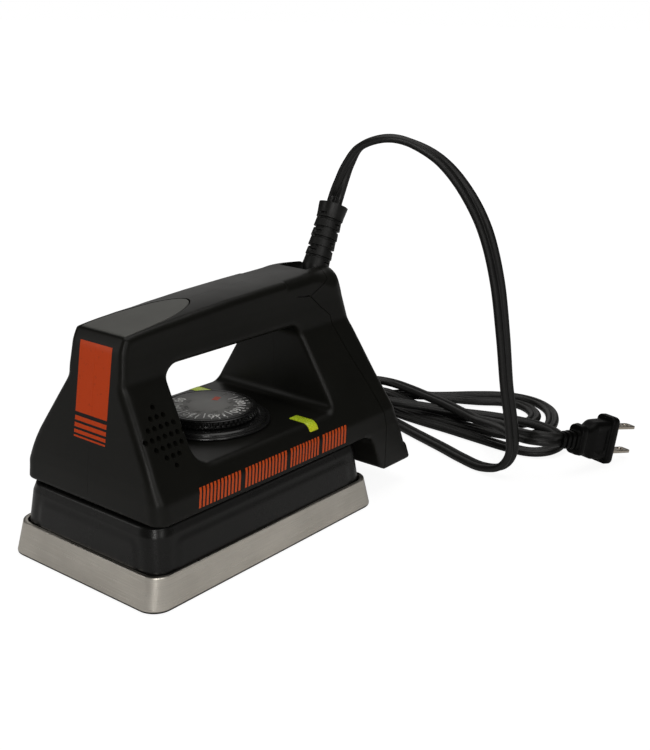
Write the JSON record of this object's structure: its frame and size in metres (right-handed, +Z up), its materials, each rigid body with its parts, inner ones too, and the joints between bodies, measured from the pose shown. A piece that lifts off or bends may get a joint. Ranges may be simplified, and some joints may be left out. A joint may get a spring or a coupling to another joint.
{
  "type": "waxing iron",
  "caption": "Electric waxing iron for skis and snowboards: flat metal sole, hollow loop-handled housing, heat dial under the grip, rear cord boot and two-wire lead with plug.",
  "frame": {"origin": "centre of the flat underside of the sole plate, which rests on the ski or the bench", "axes": "+Z up out of the sole, -Y towards the iron's front, +Y towards its heel and cord, +X to the side that a person behind the heel, looking forwards, has on the left"},
  "size_m": [0.1642, 0.3177, 0.1671],
  "materials": {
    "sole_metal": "brushed, satin, bright edges",
    "cover_enamel": "glossy black enamel on pressed sheet",
    "housing_plastic": "satin moulded black",
    "pad_rubber": "matt grey inlay",
    "dial_plastic": "glossy black, knurled edge",
    "dial_print": "dark grey disc with white scale numbers",
    "lens_plastic": "translucent yellow-green",
    "cord_rubber": "smooth satin black",
    "wire_insulation": "heat-resistant sleeve",
    "plated_steel": "plated",
    "zinc_steel": "zinc plated",
    "brass": "plain",
    "ceramic": "unglazed ceramic",
    "mineral_board": "pressed mineral sheet",
    "lamp_glass": "clear tube"
  },
  "bodies": {
    "root": {"sole_plate": "sole_metal", "heat_shield": "cover_enamel", "housing_left": "housing_plastic", "housing_right": "housing_plastic", "rear_cover": "housing_plastic", "thumb_pad": "pad_rubber", "dial_collar": "dial_plastic", "cord_clamp": "dial_plastic", "indicator_lens_left": "lens_plastic", "indicator_lens_right": "lens_plastic", "power_cord": "cord_rubber", "cord_hank": "cord_rubber", "cord_tail": "cord_rubber", "strain_relief": "cord_rubber", "plug_body": "cord_rubber", "wire_grommet_left": "wire_insulation", "wire_grommet_right": "wire_insulation", "supply_lead_live": "wire_insulation", "supply_lead_neutral": "wire_insulation", "heater_lead": "wire_insulation", "thermostat_lead": "wire_insulation", "fuse_lead_front": "wire_insulation", "fuse_lead_rear": "wire_insulation", "plug_blade_lower": "plated_steel", "plug_blade_upper": "plated_steel", "thermal_fuse": "plated_steel", "heating_element": "zinc_steel", "element_clamp_plate": "zinc_steel", "clamp_screw_1": "zinc_steel", "clamp_screw_2": "zinc_steel", "mounting_strap_front": "zinc_steel", "mounting_strap_rear": "zinc_steel", "standoff_1": "zinc_steel", "standoff_2": "zinc_steel", "standoff_3": "zinc_steel", "standoff_4": "zinc_steel", "cover_screw_1": "zinc_steel", "cover_screw_2": "zinc_steel", "cover_screw_3": "zinc_steel", "cover_screw_4": "zinc_steel", "housing_screw_1": "zinc_steel", "housing_screw_2": "zinc_steel", "housing_screw_3": "zinc_steel", "housing_screw_4": "zinc_steel", "rear_cover_screw_left": "zinc_steel", "rear_cover_screw_right": "zinc_steel", "thermostat_base": "zinc_steel", "thermostat_bracket": "zinc_steel", "threaded_bush": "brass", "bimetal_strip": "brass", "lower_contact_leaf": "brass", "thermostat_stack": "ceramic", "terminal_block": "ceramic", "insulation_board": "mineral_board", "neon_lamp": "lamp_glass"},
    "dial": {"dial_knob": "dial_plastic", "dial_face": "dial_print", "thermostat_spindle": "zinc_steel"},
    "adjusting_pin": {"adjusting_pin": "ceramic"},
    "upper_leaf": {"upper_contact_leaf": "brass"}
  },
  "joints": [
    {"name": "dial_turn", "type": "hinge", "parent": "root", "child": "dial", "pos_m": [0, 0.0054, 0.052], "axis": [0, 0, 1], "range_deg": [-150, 150]},
    {"name": "pin_travel", "type": "slide", "parent": "root", "child": "adjusting_pin", "axis": [0, 0, 1], "range_m": [-0.00035, 0.00035]},
    {"name": "leaf_flex", "type": "hinge", "parent": "root", "child": "upper_leaf", "pos_m": [0, 0.0234, 0.0174], "axis": [1, 0, 0], "range_deg": [-1.1, 1.1]}
  ],
  "couplings": [
    {"joint": "pin_travel", "follows": "dial_turn", "m_per_rad": 0.0001273},
    {"joint": "leaf_flex", "follows": "dial_turn", "ratio": -0.00707}
  ]
}
